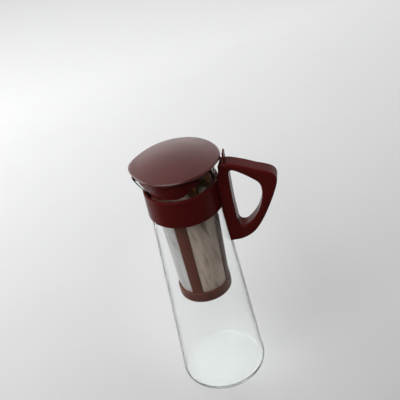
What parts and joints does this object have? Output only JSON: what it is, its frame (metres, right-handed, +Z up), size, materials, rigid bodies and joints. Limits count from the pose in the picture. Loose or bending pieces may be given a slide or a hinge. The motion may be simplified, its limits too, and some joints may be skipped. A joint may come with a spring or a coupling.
{
  "type": "cold brew coffee maker",
  "caption": "Tall clear glass jug with a clamped neck band and loop handle, a domed lid that lifts off and a mesh strainer that lifts out.",
  "frame": {"origin": "centre of the jug's flat base, where it stands", "axes": "+Z up along the jug's axis, +X from the axis towards the handle, -X towards the spout, +Y completes a right-handed frame"},
  "size_m": [0.1474, 0.0988, 0.297],
  "materials": {
    "clear_glass": "polished",
    "brown_gloss_plastic": "gloss",
    "brown_satin_plastic": "satin",
    "brown_frame_plastic": "satin",
    "filter_mesh": "fine woven polyester mesh",
    "steel": "plain",
    "brass": "plain"
  },
  "bodies": {
    "jug": {"glass_jug": "clear_glass", "neck_band": "brown_gloss_plastic", "handle": "brown_gloss_plastic", "clamp_screw": "steel", "clamp_insert": "brass", "screw_plug": "brown_gloss_plastic"},
    "strainer": {"strainer_frame": "brown_frame_plastic", "mesh_panel_1": "filter_mesh", "mesh_panel_2": "filter_mesh", "mesh_panel_3": "filter_mesh", "mesh_panel_4": "filter_mesh"},
    "lid": {"lid_cover": "brown_satin_plastic", "lid_skirt": "brown_gloss_plastic"}
  },
  "joints": [
    {"name": "strainer_lift", "type": "slide", "parent": "jug", "child": "strainer", "axis": [0, 0, 1], "range_m": [0, 0.17]},
    {"name": "lid_lift", "type": "slide", "parent": "strainer", "child": "lid", "axis": [0, 0, 1], "range_m": [0, 0.04]}
  ]
}
